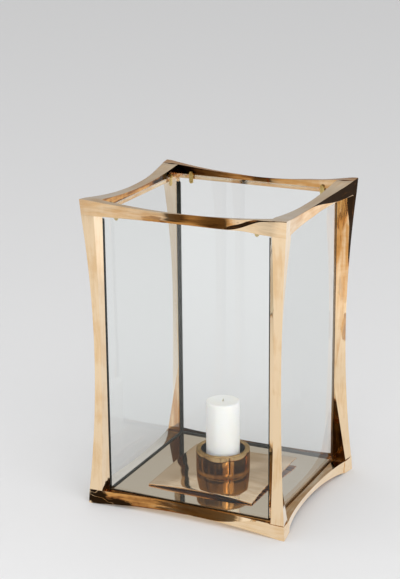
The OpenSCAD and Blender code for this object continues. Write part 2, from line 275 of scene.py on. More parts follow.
@dataclass(frozen=True)
class Bronze:
    """Hand-polished rose bronze with stains, painted tints and spots, and slow ripples from the
    polishing.

    The tint on a piece's faces is largely painted shade and painted reflections. It chooses between
    five colours, from a pale painted reflection of bright surroundings to black painted shade.
    Faces tinted darker than `dull_from` lose shine by `dull`. `rim` is the tint of the metal at a
    grazing angle. Scales are in features to a metre, depths in metres.
    """

    name: str = "polished_bronze"
    bright: Colour = (0.94, 0.73, 0.49)
    warm: Colour = (0.84, 0.57, 0.31)
    orange: Colour = (0.66, 0.33, 0.10)
    dark_brown: Colour = (0.30, 0.12, 0.035)
    black: Colour = (0.024, 0.012, 0.005)
    # painted reflection of bright surroundings, for the lowest tint
    pale_gleam: Colour = (0.78, 0.74, 0.68)
    rim: Colour = WHITE
    blotches: float = 15.0
    blotched: float = 0.75
    ripple: float = 16.0
    ripple_depth: float = 0.0005
    drag_depth: float = 0.0
    streaks: float = 130.0
    drags: float = 85.0
    veins: float = 46.0
    hazes: float = 260.0
    scratches: float = 1100.0
    scratch_depth: float = 0.000010
    gloss: float = 0.04
    dull: float = 0.0
    dull_from: float = 0.9
    grain: Grain = Grain.ALONG_Z
    reflection_spots: tuple[Spot, ...] = ()
    black_spots: tuple[Spot, ...] = ()

    def make(self) -> bpy.types.Material:
        """Builds the material."""
        material, g = new_material(self.name)
        along = g.mapped(g.place(), self.grain.value)
        broad = g.noise(self.blotches, 3.0, 0.55)
        fine = g.noise(self.blotches * 5.0, 4.0, 0.6)
        streak = g.noise(self.streaks, 3.0, 0.6, along)
        drag = g.noise(self.drags, 2.0, 0.5, along)
        ragged = broad * 0.45 + fine * 0.55
        edge = ragged * 0.55 + drag * 0.45
        tint_shade = g.node("ShaderNodeAttribute", {}, attribute_name=TINT_AND_SHADE_LAYER).other("Fac")
        warm = (broad * 0.55 + streak * 0.45).step(0.44, 0.64) * self.blotched
        wild = tint_shade * (1.0 - tint_shade.step(1.3, 1.9) * 0.8)
        felt = tint_shade + ((ragged - 0.5) * 1.5 + (streak - 0.5) * 0.8 + (drag - 0.5) * 3.4) * wild
        # Random stains, then the listed spots of painted dark reflection.
        stain_and_reflection = g.noise(self.blotches * 0.6, 4.0, 0.6).step(0.66, 0.76) * 0.35
        for spot in self.reflection_spots:
            stain_and_reflection = stain_and_reflection + spot.mask(g, edge)
        flame = g.mapped(g.place(), (0.42, 0.42, 1.0))
        vein = g.maths("ABSOLUTE", g.noise(self.veins, 2.0, 0.6, flame) - 0.5)
        # Black painted shade from the darkest tints, and the painted black spots.
        painted_black_mask = felt.step(1.35, 1.95)
        for spot in self.black_spots:
            painted_black_mask = painted_black_mask + spot.mask(g, edge) * vein.step(0.002, 0.012)
        colour = g.mix(warm, self.bright, self.warm)
        colour = g.mix(tint_shade.step(0.0, PAINTED_PALE), colour, self.pale_gleam)
        colour = g.mix(felt.clamped(), colour, self.orange)
        colour = g.mix(felt.step(0.9, 1.5), colour, self.dark_brown)
        spot_colour = g.mix(streak.step(0.4, 0.6), self.dark_brown, self.orange)
        colour = g.mix(stain_and_reflection.clamped(), colour, spot_colour)
        colour = g.mix(painted_black_mask.clamped(), colour, self.black)
        haze = g.noise(self.hazes, 3.0, 0.6)
        rough = self.gloss + warm * 0.03 + stain_and_reflection.clamped() * 0.10 + haze * 0.03
        # Faces tinted as dark painted shade also lose their shine.
        painted_shade_dull = tint_shade.step(self.dull_from, self.dull_from + 0.2) * self.dull
        scratch = g.noise(self.scratches, 2.0, 0.5, along)
        wave = g.bump(g.noise(self.ripple, 1.0, 0.4), self.ripple_depth)
        normal = g.bump(scratch, self.scratch_depth, g.bump(drag, self.drag_depth, wave))
        g.surface(g.node("ShaderNodeBsdfPrincipled", {
            "Base Color": colour, "Metallic": 1.0 - painted_shade_dull * 0.9, "Roughness": rough + painted_shade_dull * 0.3,
            "Normal": normal, "Specular IOR Level": 0.0, "Specular Tint": self.rim,
        }))
        return material


@dataclass(frozen=True)
class ClearGlass:
    """Flat clear glass, seen as such only by rays straight from the eye.

    Shadows and the bronze's reflections pass through it as if it were a faint tint.
    """

    name: str = "clear_glass"
    tint: Colour = (0.978, 0.988, 0.984)
    smeared: Colour = (0.988, 0.995, 0.992)
    faint: Colour = (0.97, 0.98, 0.98)
    ior: float = 1.38
    smears: float = 7.0
    smear_depth: float = 0.00006

    def make(self) -> bpy.types.Material:
        """Builds the material."""
        material, g = new_material(self.name)
        smear = g.noise(self.smears, 3.0, 0.6)
        glass = g.node("ShaderNodeBsdfPrincipled", {
            "Base Color": g.mix(smear, self.tint, self.smeared), "Roughness": 0.0, "IOR": self.ior,
            "Transmission Weight": 1.0, "Normal": g.bump(smear, self.smear_depth),
        })
        clear = g.node("ShaderNodeBsdfTransparent", {"Color": self.faint})
        path = g.node("ShaderNodeLightPath", {})
        reflected = path.other("Glossy Depth").step(0.2, 0.8)
        unseen = g.maths("MAXIMUM", path.other("Is Shadow Ray"), reflected)
        g.surface(g.mix_shader(unseen, glass, clear))
        return material


@dataclass(frozen=True)
class Plain:
    """A plain material with slight variation of colour, gloss and surface."""

    name: str
    colour: Colour
    second: Colour
    rough: float = 0.75
    metallic: float = 0.0
    grain: float = 120.0
    grain_depth: float = 0.00005
    soften: float = 0.0
    soften_radius: Colour = (0.010, 0.008, 0.006)

    def make(self) -> bpy.types.Material:
        """Builds the material."""
        material, g = new_material(self.name)
        patch = g.noise(self.grain * 0.2, 3.0, 0.55)
        grain = g.noise(self.grain, 3.0, 0.6)
        inputs: Inputs = {
            "Base Color": g.mix(patch.step(0.35, 0.65), self.colour, self.second),
            "Metallic": self.metallic,
            "Roughness": self.rough + (grain - 0.5) * 0.12,
            "Normal": g.bump(grain, self.grain_depth),
        }
        if self.soften:
            inputs["Subsurface Weight"] = self.soften
            inputs["Subsurface Radius"] = self.soften_radius
            inputs["Subsurface Scale"] = 1.0
        g.surface(g.node("ShaderNodeBsdfPrincipled", inputs))
        return material


class Finish(Enum):
    """The finishes of the pieces; the first word of each value is the record's slot."""

    BAR_X = "bronze along x"
    BAR_Y = "bronze along y"
    BAR_Z = "bronze along z"
    TRAY = "bronze tray"
    CUP = "bronze cup"
    FLOOR = "floor_bronze"
    BRASS = "brass"
    STEEL = "steel"
    GLASS = "clear_glass"
    RUBBER = "rubber"
    BEAD = "rubber bead"
    DUSTY = "rubber dusty"
    WAX = "wax"
    COTTON = "cotton"

    @property
    def slot(self) -> str:
        """The record's slot."""
        return self.value.split()[0]


# Dark spots on the front rails, painted as dark reflections.
RAIL_REFLECTION_SPOTS = (
    Spot((-66.0, -177.0, 613.0), (30.0, 18.0, 10.0), 0.65),
    Spot((12.0, -176.0, 610.0), (90.0, 12.0, 6.0), 0.9),
    Spot((45.0, -172.0, 622.0), (70.0, 20.0, 16.0), 0.8),
    Spot((-20.0, -184.0, 16.0), (140.0, 14.0, 22.0), 0.45),
)
# Dark spots on the back right and front left posts, painted as dark reflections, one of them of a
# fold.
POST_REFLECTION_SPOTS = (
    Spot((203.0, 177.0, 324.0), (22.0, 11.0, 34.0), 0.6),
    Spot((198.0, 166.0, 586.0), (8.0, 24.0, 26.0), 0.9),
    Spot((190.0, 166.0, 552.0), (9.0, 24.0, 22.0), 0.9),
    Spot((200.0, 168.0, 410.0), (18.0, 24.0, 40.0), 0.4),
    Spot((-212.0, -188.0, 330.0), (14.0, 12.0, 90.0), 0.35),
)
# Black veined spots at the front left foot and on the front bottom rail: painted dark reflections.
BLACK_REFLECTION_SPOTS = (
    Spot((-196.0, -188.0, 13.0), (30.0, 24.0, 18.0)),
    Spot((-150.0, -182.0, 10.0), (42.0, 16.0, 9.0)),
)
# Tints above these levels are dark painted shade, which also loses its shine.
RAIL_SHADE_DULL_FROM = 1.6
POST_SHADE_DULL_FROM = 1.3
BAR_DRAG = 0.0004

RECIPES: dict[Finish, Bronze | ClearGlass | Plain] = {
    Finish.BAR_X: Bronze(
        "bronze_along_x", dull=1.0, dull_from=RAIL_SHADE_DULL_FROM, drag_depth=BAR_DRAG,
        grain=Grain.ALONG_X, reflection_spots=RAIL_REFLECTION_SPOTS, black_spots=BLACK_REFLECTION_SPOTS,
    ),
    Finish.BAR_Y: Bronze(
        "bronze_along_y", dull=0.9, dull_from=RAIL_SHADE_DULL_FROM, drag_depth=BAR_DRAG, grain=Grain.ALONG_Y
    ),
    Finish.BAR_Z: Bronze(
        "bronze_along_z", dull=0.8, dull_from=POST_SHADE_DULL_FROM, drag_depth=BAR_DRAG,
        grain=Grain.ALONG_Z, reflection_spots=POST_REFLECTION_SPOTS,
    ),
    Finish.TRAY: Bronze(
        "tray_bronze", bright=(0.82, 0.65, 0.47), warm=(0.70, 0.52, 0.34), rim=(0.80, 0.62, 0.44),
        blotches=11.0, ripple=12.0, ripple_depth=0.0042, gloss=0.02, dull=1.0, grain=Grain.ALONG_X,
    ),
    # A darker copy of the bars' bronze: painted dark reflection of the dim surroundings.
    Finish.CUP: Bronze(
        "cup_bronze", bright=(0.52, 0.35, 0.17), warm=(0.30, 0.17, 0.06), rim=(0.85, 0.70, 0.48),
        blotches=22.0, blotched=0.9, ripple=26.0, ripple_depth=0.00006, drag_depth=0.00014,
        gloss=0.03,
    ),
    Finish.FLOOR: Bronze(
        "mirror_floor", bright=(0.88, 0.78, 0.65), warm=(0.82, 0.70, 0.55), rim=(0.88, 0.76, 0.60),
        blotches=6.0, blotched=0.5, ripple=7.0, ripple_depth=0.0003, gloss=0.015,
        grain=Grain.ALONG_X,
    ),
    Finish.BRASS: Plain(
        "satin_brass", (0.78, 0.60, 0.24), (0.55, 0.38, 0.14), rough=0.28, metallic=1.0, grain=300.0
    ),
    Finish.STEEL: Plain(
        "zinc_steel", (0.55, 0.56, 0.58), (0.45, 0.46, 0.48), rough=0.35, metallic=1.0, grain=400.0
    ),
    Finish.GLASS: ClearGlass(),
    Finish.RUBBER: Plain("black_rubber", (0.014, 0.015, 0.011), (0.030, 0.032, 0.026)),
    Finish.BEAD: Plain("brown_rubber", (0.07, 0.045, 0.022), (0.045, 0.030, 0.016)),
    Finish.DUSTY: Plain("dusty_rubber", (0.15, 0.10, 0.055), (0.11, 0.075, 0.04)),
    Finish.WAX: Plain(
        "candle_wax", (0.95, 0.945, 0.92), (0.93, 0.92, 0.885), rough=0.42, grain=90.0,
        grain_depth=0.00008, soften=0.35,
    ),
    Finish.COTTON: Plain(
        "waxed_cotton", (0.72, 0.66, 0.52), (0.42, 0.36, 0.27), rough=0.8, grain=900.0
    ),
}


class Finishes:
    """Makes each finish once and puts it on pieces."""

    def __init__(self) -> None:
        """Builds all the materials."""
        self.made = {finish: recipe.make() for finish, recipe in RECIPES.items()}

    def put(self, piece: bpy.types.Object, finish: Finish) -> None:
        """Gives a piece its finish.

        Args:
            piece: the object.
            finish: which finish.
        """
        piece.data.materials.clear()
        piece.data.materials.append(self.made[finish])


# ---- making meshes ----

MERGE = 1e-6  # metres
LEAST_ANGLE = 22.0  # of an edge that is rounded, in degrees
FACETS = 128  # round a turned piece
Shape = bmesh.types.BMesh


def placed(name: str, data: bpy.types.ID) -> bpy.types.Object:
    """Puts a mesh, a camera or a light into the scene."""
    thing = bpy.data.objects.new(name, data)
    bpy.context.scene.collection.objects.link(thing)
    return thing


def finished(bm: Shape, name: str, body: str, nodes: Iterable[str]) -> bpy.types.Object:
    """Turns a bmesh into a piece that stands for CAD nodes and rides on a body.

    Args:
        bm: the shape, in metres; it is freed.
        name: the piece's name.
        body: the body it rides on.
        nodes: the CAD nodes it stands for.

    Returns:
        The piece.
    """
    bmesh.ops.remove_doubles(bm, verts=bm.verts, dist=MERGE)
    bmesh.ops.recalc_face_normals(bm, faces=bm.faces)
    mesh = bpy.data.meshes.new(name)
    bm.to_mesh(mesh)
    bm.free()
    mesh.shade_smooth()
    piece = placed(name, mesh)
    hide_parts(*nodes)
    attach(piece, body)
    LOG.info("%s: %d faces", name, len(mesh.polygons))
    return piece


def round_edges(piece: bpy.types.Object, width: float) -> None:
    """Rounds a piece's edges with a Bevel modifier.

    Args:
        piece: the object.
        width: the width of the rounding in millimetres.
    """
    bevel = piece.modifiers.new("rounded", "BEVEL")
    bevel.width = width * MM
    bevel.segments = 2
    bevel.limit_method = "ANGLE"
    bevel.angle_limit = math.radians(LEAST_ANGLE)
    bevel.use_clamp_overlap = True
    even = piece.modifiers.new("even_shading", "WEIGHTED_NORMAL")
    even.mode = "FACE_AREA"
    even.weight = 50


@dataclass(frozen=True)
class Section:
    """A bar's corners at one place, in millimetres, and the tint of the wall after each, largely
    painted shade and reflections.
    """

    corners: list[Vector]
    tint_shades: Sequence[float] = ()


def loft(sections: Sequence[Section], end_tint_shade: float = 0.0) -> Shape:
    """A closed bar through sections, extruded from one to the next.

    Args:
        sections: the sections in order, each with the same number of corners.
        end_tint_shade: the tint of the last end, largely painted shade.

    Returns:
        The shape in metres, with the tints, largely painted shade and reflections, on its faces.
    """
    bm = bmesh.new()
    tint_shade = bm.faces.layers.float.new(TINT_AND_SHADE_LAYER)
    verts = [bm.verts.new(p * MM) for p in sections[0].corners]
    face = bm.faces.new(verts)
    for number, section in enumerate(sections[1:]):
        before = [v.co.copy() for v in verts]
        made = bmesh.ops.extrude_face_region(bm, geom=[face])
        if number:
            bmesh.ops.delete(bm, geom=[face], context="FACES_ONLY")
        face = next(g for g in made["geom"] if isinstance(g, bmesh.types.BMFace))
        left = list(face.verts)
        verts = []
        for old in before:
            vert = min(left, key=lambda v: (v.co - old).length_squared)
            left.remove(vert)
            verts.append(vert)
        for vert, new in zip(verts, section.corners):
            vert.co = new * MM
        for first, second, value in zip(verts, verts[1:] + verts[:1], section.tint_shades):
            for wall in bm.edges.get((first, second)).link_faces:
                if wall is not face:
                    wall[tint_shade] = value
    face[tint_shade] = end_tint_shade
    return bm


def turned(profile: Sequence[tuple[float, float]]) -> Shape:
    """A round piece about the Z axis, spun from half of its section.

    Args:
        profile: points (radius, height) in millimetres, from the foot's middle to the top's middle.

    Returns:
        The shape in metres.
    """
    bm = bmesh.new()
    verts = [bm.verts.new((r * MM, 0.0, z * MM)) for r, z in profile]
    edges = [bm.edges.new(pair) for pair in zip(verts, verts[1:])]
    around = {"cent": (0, 0, 0), "axis": (0, 0, 1), "angle": math.tau}
    bmesh.ops.spin(bm, geom=verts + edges, steps=FACETS, use_merge=True, **around)
    return bm


def smooth(value: float, low: float, high: float) -> float:
    """Rises smoothly from 0 at low to 1 at high."""
    t = min(1.0, max(0.0, (value - low) / (high - low)))
    return t * t * (3.0 - 2.0 * t)


def bell(value: float, middle: float, reach: float) -> float:
    """Rises to 1 at the middle and falls off on both sides."""
    return math.exp(-(((value - middle) / reach) ** 2))


# ---- the frame ----


@dataclass(frozen=True)
class Twist:
    """How a top rail's front face rolls back and returns, in millimetres along the rail."""

    roll_from: float = -56.0
    roll_to: float = 15.0
    lean: float = 6.5
    crest_from: float = 90.0
    crest_to: float = 168.0
    dip_at: float = 112.0
    dip_reach: float = 24.0
    dip: float = 0.75
    lip_high: float = 0.24
    bump_at: float = 120.0
    bump_reach: float = 30.0
    bump: float = 7.0
    groove: float = 7.0

    def setback(self, along: float) -> float:
        """How far the top edge lies behind the foot of the face."""
        back = 1.0 - smooth(along, self.crest_to - 20.0, self.crest_to + 32.0)
        dip = 1.0 - self.dip * bell(along, self.dip_at, self.dip_reach)
        return self.lean * smooth(along, self.roll_from, self.roll_to) * back * dip

    def lip(self, along: float) -> float:
        """How far the upright lip along the middle of the foot has risen: 0 to 1."""
        return smooth(along, -110.0, -50.0) * (1.0 - smooth(along, 0.0, 70.0))

    def crest(self, along: float) -> float:
        """How high the upright part of the face reaches: 0 at the foot, 1 at the top."""
        return max(smooth(along, self.crest_from, self.crest_to), self.lip_high * self.lip(along))

    def swell(self, along: float) -> float:
        """How far the lower edge is drawn in."""
        return self.bump * bell(along, self.bump_at, self.bump_reach)

    def stroke(self, along: float) -> float:
        """The width of the groove that follows the crest, whose wall is painted black as a dark
        reflection.
        """
        rise = smooth(along, self.crest_from - 14.0, self.crest_from + 12.0)
        fade = 1.0 - smooth(along, self.crest_to - 40.0, self.crest_to + 10.0)
        return 0.5 + self.groove * rise * fade + 0.7 * rise


@dataclass(frozen=True)
class LanternFrame:
    """The bars of cast bronze, drawn in between their corners, with faces that twist.

    Lengths are in millimetres. A corner of a section has u, how far it lies in from the left or
    right tips, and v, how far in from the front or back tips. The methods that shape bars take the
    side: sx is -1 for left and 1 for right, sy is -1 for front and 1 for back.
    """

    half_w: float = 216.5
    half_d: float = 190.0
    height: float = 640.0
    post_bow: float = 15.0
    rail_bow: float = 13.5
    tip: float = 10.0
    seam_top: float = 608.0
    seam_foot: float = 30.0
    pane_v: float = 19.0
    pane_u: float = 34.0
    glass: float = 3.0
    gap: float = 0.3
    lap: float = 0.4
    pocket: float = 10.0
    ledge: float = 16.0
    floor_z: float = 27.0
    ledge_z: float = 24.0
    floor_end: float = 176.5
    ledge_end: float = 182.5
    straight: float = 180.0
    post_face: float = 30.0
    post_reveal: float = 40.0
    post_side: float = 28.0
    ridge_top: float = 0.38
    ridge_foot: float = 0.28
    flare: float = 0.13
    back_lean: float = 4.0
    fold: float = 0.94
    fold_falls: float = 0.90
    foot_rise: float = 0.93
    foot_tuck: float = 0.40
    soft: float = 0.5
    stations: int = 72
    clear: float = 1.5
    jump: float = 0.05
    twist: Twist = Twist()

    def _bow(self, along: float, half: float, depth: float) -> float:
        """How far a bar is drawn in at a distance from its middle; its tips are straight."""
        return depth * max(0.0, 1.0 - (along / (half - self.tip)) ** 2)

    def bow_w(self, x: float) -> float:
        """How far a rail is drawn in at x along the front."""
        return self._bow(x, self.half_w, self.rail_bow)

    def bow_d(self, y: float) -> float:
        """How far a rail is drawn in at y along a side."""
        return self._bow(y, self.half_d, self.rail_bow)

    def bow_h(self, z: float) -> float:
        """How far a post is drawn in at height z."""
        return self._bow(z - self.height / 2, self.height / 2, self.post_bow)

    def _ridge(self, z: float, outer: Vector, side: Vector, far: bool) -> Vector:
        """The corner that wanders across a post's outer side.

        Args:
            z: the height.
            outer: the section's outer corner.
            side: the section's inner corner on this side.
            far: whether the post is the back right one, which flares at its head.

        Returns:
            The corner's u and v.
        """
        length = self.seam_top - self.seam_foot
        from_top = (self.seam_top - z) / length
        from_foot = (z - self.seam_foot) / length
        if from_top < self.ridge_top:
            fall = 0.5 * smooth(from_top, 0.0, self.ridge_top) + 0.5 * from_top / self.ridge_top
            bow = self.bow_h(z)
            depth = (self.post_side - bow) * (1.0 - fall)
            edge = max(bow, self.bow_d(self.half_d - bow - depth))
            ridge = Vector((edge, bow + max(depth, self.lap)))
            if far:
                flared = 9.0 * (1.0 - smooth(from_top, 0.0, self.flare))
                ridge.x += flared + 1.6 * (1.0 - smooth(from_top, self.flare, self.ridge_top))
            return ridge
        if from_foot < self.ridge_foot:
            go = from_foot / self.ridge_foot
            return Vector((5.0 + (self.pane_u - 0.6 - 5.0) * go, self.post_side - 0.2 * go))
        across = smooth(from_top, self.ridge_top, 1.0 - self.ridge_foot)
        return outer.lerp(side, 0.04 + 0.92 * across)

    def _post_tint_shades(self, z: float, sx: int, far: bool) -> Sequence[float]:
        """The tint of a post's walls at a height, in the order of its corners, which is painted
        reflection.
        """
        foot, head = 1.0 - smooth(z, 70.0, 190.0), smooth(z, 400.0, 500.0)
        # Pale tints are painted reflections of bright surroundings; the darker tints near the feet
        # and on the back right post's cheek and head are painted dark reflections.
        strip = 0.05 + 0.9 * foot if sx > 0 else -0.3
        low = 0.9 * foot if sx > 0 else 1.0 - smooth(z, 60.0, 320.0)
        cheek = 0.35 + 0.55 * smooth(z, 400.0, 560.0) + low if far else -0.4 + low
        edge = 0.06 + PAINTED_BLACK * head if far else -0.5
        return 0.0, strip, HIDDEN, HIDDEN, cheek, edge

    def post(self, sx: int, sy: int) -> Shape:
        """Shapes one post."""
        far = sx > 0 and sy > 0
        step = (self.seam_top - self.seam_foot) / self.stations
        sections = []
        for z in (self.seam_foot + step * i for i in range(self.stations + 1)):
            bow = self.bow_h(z)
            outer = Vector((bow, bow))
            side = Vector((self.pane_u, self.post_side))
            corners = (
                outer,
                Vector((self.post_face, max(bow, self.bow_w(self.half_w - self.post_face)))),
                Vector((self.post_reveal, self.pane_v)),
                Vector((self.pane_u, self.pane_v)),
                side,
                self._ridge(z, outer, side, far),
            )
            points = [(sx * (self.half_w - p.x), sy * (self.half_d - p.y), z) for p in corners]
            sections.append(Section([Vector(p) for p in points], self._post_tint_shades(z, sx, far)))
        # The back right post's top end is painted black as shade.
        return loft(sections, PAINTED_BLACK if far else 0.0)

    def _stations(self, end: float, steps_at: Sequence[float] = ()) -> list[float]:
        """Places along a rail from -end to end, with close pairs where its section jumps."""
        places = {round(-end + 2 * end * i / self.stations, 3) for i in range(self.stations + 1)}
        places = {p for p in places if all(abs(abs(p) - s) > self.clear for s in steps_at)}
        for s in steps_at:
            places |= {s - self.jump, s + self.jump, -s - self.jump, -s + self.jump}
        return sorted(places)

    def _on_long(self, x: float, v: float, z: float, sy: int) -> Vector:
        """A point of a long rail, with the rail's ends fitted to the posts' outer sides."""
        past = abs(x) - self.straight
        if past > 0.0:
            end = self.half_w - max(self.bow_h(z), self.bow_d(self.half_d - v))
            share = (end - self.straight) / (self.half_w - self.straight)
            x = math.copysign(self.straight + past * share, x)
        return Vector((x, sy * (self.half_d - v), z))

    def _long_tint_shades(self, x: float, sy: int) -> Sequence[float]:
        """The tint of a long top rail's walls at x, in the order of its corners: painted shade and
        reflections.
        """
        start = self.twist.crest_from
        rolled = smooth(x, -60.0, 20.0) * (1.0 - smooth(x, start, start + 30.0))
        # The orange where the face rolls back and the lip rises is a painted reflection.
        face, turn = 0.10 + 0.75 * self.twist.lip(x), 0.30 + 0.40 * rolled
        if sy < 0:
            # Front rail: the groove's black stroke is a painted dark reflection, and the pocket
            # wall is painted shade.
            marked = 1.9 * smooth(x, start - 10.0, start + 10.0)
            return face, marked, turn, 0.20, 0.35, 1.3, 0.5, 0.5
        # Back rail: the inner face darkens towards the left end and the bottom face turns black
        # near the right end, as painted shade; the pocket wall is painted shade too.
        dark_brown = 0.45 * (1.0 - smooth(x, -20.0, 60.0)) + 0.45 * (1.0 - smooth(x, -170.0, -130.0))
        under = PAINTED_BLACK if x > 150.0 else 0.5
        return face, 0.0, turn, 0.70, 0.60 + dark_brown, 1.3, 0.5, under

    def top_long(self, sy: int) -> Shape:
        """Shapes the front or back top rail."""
        twist = self.twist
        inner_v = self.pane_v + self.glass + self.gap
        pocket_end = self.half_w - self.pane_u
        sections = []
        for x in self._stations(self.half_w, [pocket_end]):
            plan = self.bow_w(x)
            low_v = max(plan, self.bow_h(self.seam_top)) + twist.swell(x)
            set_v = plan + twist.setback(x)
            rise = self.height - max(plan, self.bow_d(self.half_d - set_v))
            lean = (1.0 - smooth(x, -30.0, 60.0)) * smooth(x, -205.0, -150.0)
            lean *= self.back_lean if sy > 0 else 0.0
            rise_in = self.height - max(plan, self.bow_d(self.half_d - inner_v + lean))
            crest, stroke = twist.crest(x), twist.stroke(x)
            crest_z = self.seam_top + 0.5 + (rise - self.seam_top - 2.2) * crest
            crest_v = low_v + (plan - low_v) * crest
            over_z = min(crest_z + stroke, rise - 0.35)
            share = (over_z - crest_z) / max(0.5, rise - crest_z)
            over_v = crest_v + (set_v - crest_v) * share + 0.6 * min(1.0, stroke / 4.0)
            if abs(x) < pocket_end:
                roof, back = self.seam_top + self.pocket, self.pane_v - self.lap
            else:
                roof, back = self.seam_top + self.gap, inner_v - 0.6
            points = [
                (low_v, self.seam_top), (crest_v, crest_z), (over_v, over_z), (set_v, rise),
                (inner_v - lean, rise_in), (inner_v, roof), (back, roof), (back, self.seam_top),
            ]
            corners = [self._on_long(x, v, z, sy) for v, z in points]
            sections.append(Section(corners, self._long_tint_shades(x, sy)))
        # The back rail's ends are painted black as shade, and the front rail's ends pale as a
        # painted reflection.
        return loft(sections, PAINTED_BLACK if sy > 0 else -0.5)

    def top_short(self, sx: int) -> Shape:
        """Shapes the left or right top rail, between the long ones."""
        end = self.half_d - (self.pane_v + self.glass + self.gap)
        inner_u = self.pane_u + self.glass + self.gap
        lap_u = self.pane_u - self.lap
        roof = self.seam_top + self.pocket
        sections = []
        for y in self._stations(end):
            plan = self.bow_d(y)
            cut = 3.0 * smooth(y, -30.0, 40.0) * (1.0 - smooth(y, 100.0, end))
            low_u = max(plan, self.bow_h(self.seam_top)) + cut
            set_u = plan + 2.5 * (1.0 - smooth(abs(y), 60.0, 150.0))
            rise = self.height - max(plan, self.bow_w(self.half_w - set_u))
            rise_in = self.height - max(plan, self.bow_w(self.half_w - inner_u))
            fold = self.fold - self.fold_falls * smooth(y, -25.0, 120.0)
            flat_u = low_u + (set_u - low_u) * fold
            fold_u = flat_u - min(1.6 * smooth(y, -30.0, 60.0), flat_u - plan * 0.999)
            fold_z = self.seam_top + (rise - self.seam_top) * fold
            points = [
                (low_u, self.seam_top), (fold_u, fold_z), (set_u, rise), (inner_u, rise_in),
                (inner_u, roof), (lap_u, roof), (lap_u, self.seam_top),
            ]
            # The upper outer face darkens towards the back as a painted dark reflection; the left
            # rail's near black inner face, the pocket wall and the right rail's black bottom
            # towards the back are painted shade.
            dark_brown = smooth(y, -35.0, 15.0)
            under = 0.5 + 1.5 * smooth(y, 100.0, 150.0) * (sx > 0)
            inside = 1.55 if sx < 0 else 0.5
            tint_shades = (0.42 + 0.03 * dark_brown, 0.4 + 1.6 * dark_brown, 0.15, inside, 1.3, 0.5, under)
            corners = [Vector((sx * (self.half_w - u), y, z)) for u, z in points]
            sections.append(Section(corners, tint_shades))
        # The right rail's ends are painted black as shade.
        return loft(sections, PAINTED_BLACK if sx > 0 else 0.0)

    def foot_long(self, sy: int) -> Shape:
        """Shapes the front or back bottom rail."""
        ledge_v = self.pane_v + self.ledge
        sections = []
        for x in self._stations(self.half_w, [self.floor_end, self.ledge_end]):
            plan = self.bow_w(x)
            rise = plan * self.foot_rise
            shelf = self.ledge_z if abs(x) < self.ledge_end else self.seam_foot - 0.1
            under = max(rise, self.bow_d(self.half_d - ledge_v))
            crest = smooth(x, 55.0, 165.0)
            low_v, set_v = plan * self.foot_tuck, max(plan, self.bow_h(self.seam_foot))
            crest_z = rise + 0.4 + (self.seam_foot - rise - 0.8) * crest
            crest_v = low_v + (set_v - low_v) * 0.4 * smooth(x, 30.0, -30.0)
            points = [
                (low_v, rise), (crest_v, crest_z), (set_v, self.seam_foot),
                (self.pane_v + 0.2, shelf), (ledge_v, shelf), (ledge_v, under),
            ]
            tan = 0.80 + 0.35 * smooth(x, -20.0, -110.0)
            tan *= (1.0 - smooth(x, -20.0, 150.0)) * smooth(abs(x), 216.0, 170.0)
            # The back rail's dark top is painted shade.
            top = 0.45 + tan if sy < 0 else 1.8
            tint_shades = (0.05 + 0.5 * tan, 0.08 + tan, top, 0.6, HIDDEN, HIDDEN)
            sections.append(Section([self._on_long(x, v, z, sy) for v, z in points], tint_shades))
        return loft(sections)

    def foot_short(self, sx: int) -> Shape:
        """Shapes the left or right bottom rail, between the long ones."""
        ledge_u = self.pane_u + self.ledge
        sections = []
        for y in self._stations(self.half_d - (self.pane_v + self.ledge)):
            plan = self.bow_d(y)
            fade = max(0.0, 1.0 - (abs(y) / 165.0) ** 4)
            under = max(plan, self.bow_w(self.half_w - ledge_u))
            points = [
                (plan + 8.0 * fade, plan), (plan + 3.0 * fade, self.seam_foot + 1.5 * fade),
                (self.pane_u, self.floor_z), (self.pane_u + 0.2, self.ledge_z),
                (ledge_u, self.ledge_z), (ledge_u, under),
            ]
            # The left rail's pale top is a painted reflection and the dark underside is painted
            # shade; the right rail's top is darker towards the back.
            top = 0.65 + 0.7 * smooth(y, 110.0, 150.0) if sx > 0 else PAINTED_PALE
            tint_shades = (0.05, top, 0.8, HIDDEN, HIDDEN, 1.6)
            corners = [Vector((sx * (self.half_w - u), y, z)) for u, z in points]
            sections.append(Section(corners, tint_shades))
        return loft(sections)

    def build(self, finishes: Finishes) -> None:
        """Builds and dresses all twelve bars."""
        ends, sides = ((-1, "front"), (1, "back")), ((-1, "left"), (1, "right"))
        bars = []
        for level, long_bar, short_bar in (
            ("top", self.top_long, self.top_short), ("bottom", self.foot_long, self.foot_short)
        ):
            bars += [(f"{level}_rail_{end}", long_bar(sy), Finish.BAR_X) for sy, end in ends]
            bars += [(f"{level}_rail_{side}", short_bar(sx), Finish.BAR_Y) for sx, side in sides]
        for sx, side in sides:
            bars += [(f"post_{end}_{side}", self.post(sx, sy), Finish.BAR_Z) for sy, end in ends]
        for name, shape, finish in bars:
            bar = finished(shape, f"bar_{name}", "frame", [name])
            round_edges(bar, self.soft)
            finishes.put(bar, finish)


# ---- tray, cup and candle ----


